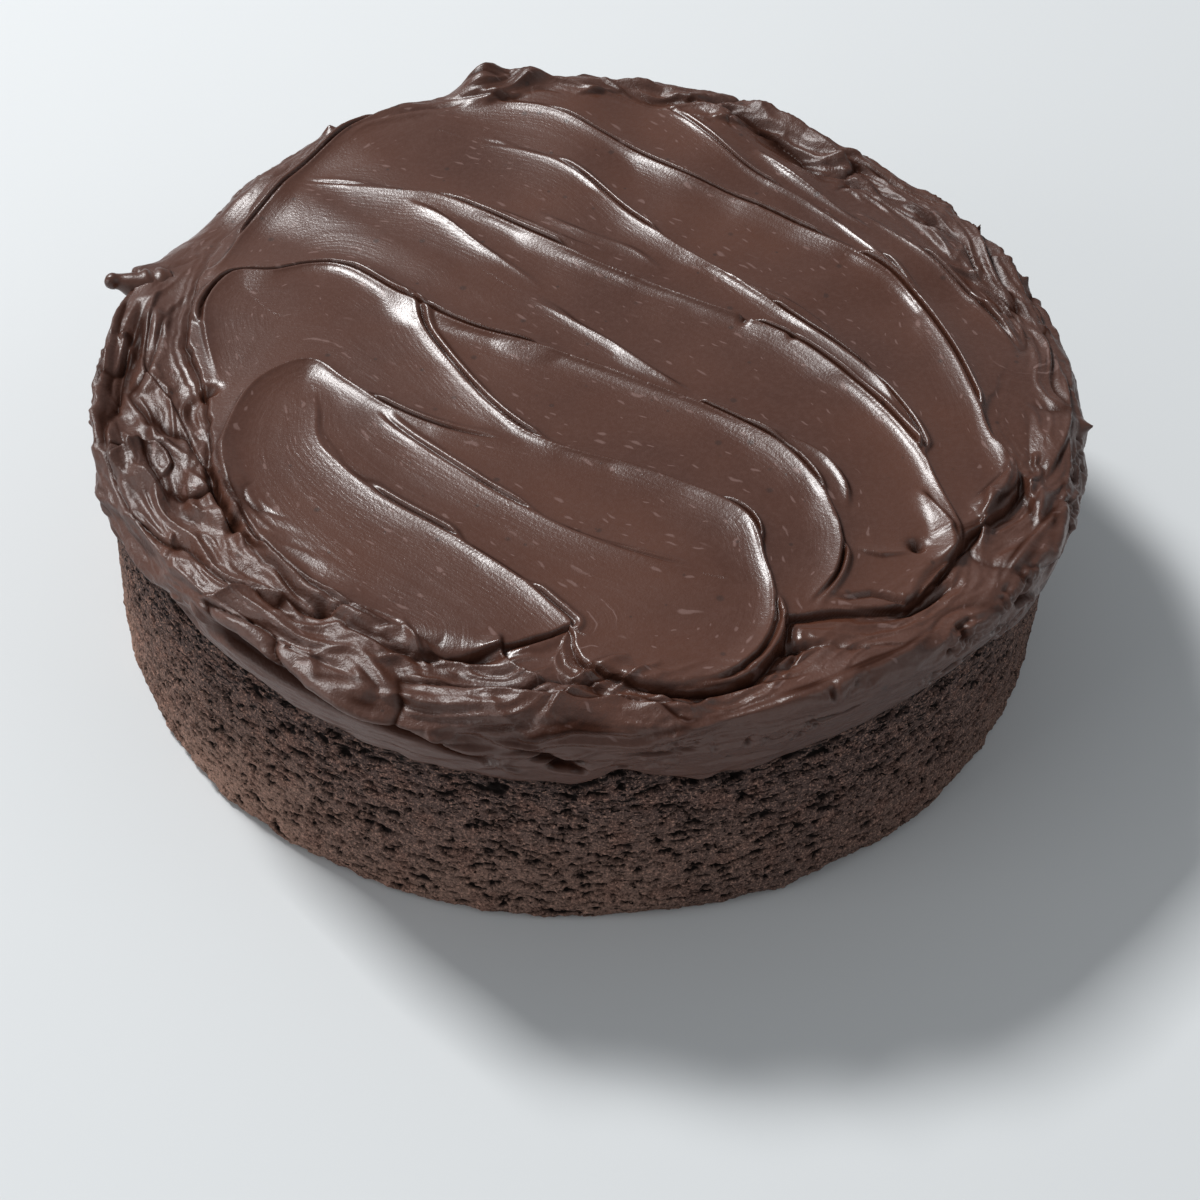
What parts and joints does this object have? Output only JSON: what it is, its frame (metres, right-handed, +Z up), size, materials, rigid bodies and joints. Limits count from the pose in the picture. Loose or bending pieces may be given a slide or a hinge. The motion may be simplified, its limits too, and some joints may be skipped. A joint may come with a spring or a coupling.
{
  "type": "chocolate cake",
  "caption": "Round uncut single-layer chocolate cake: a straight-sided crumbly sponge under swirled glossy chocolate frosting with a torn rim.",
  "frame": {"origin": "centre of the sponge's flat base, on the surface that the cake stands on", "axes": "+Z up through the cake's middle, -Y towards the front that the picture shows, +X to the right"},
  "size_m": [0.2057, 0.2068, 0.0677],
  "materials": {
    "sponge_crumb": "matte, open dark brown crumb with small pores",
    "chocolate_frosting": "satin, soft grainy sheen on spatula crests"
  },
  "bodies": {
    "root": {"sponge": "sponge_crumb", "frosting": "chocolate_frosting"}
  },
  "joints": []
}
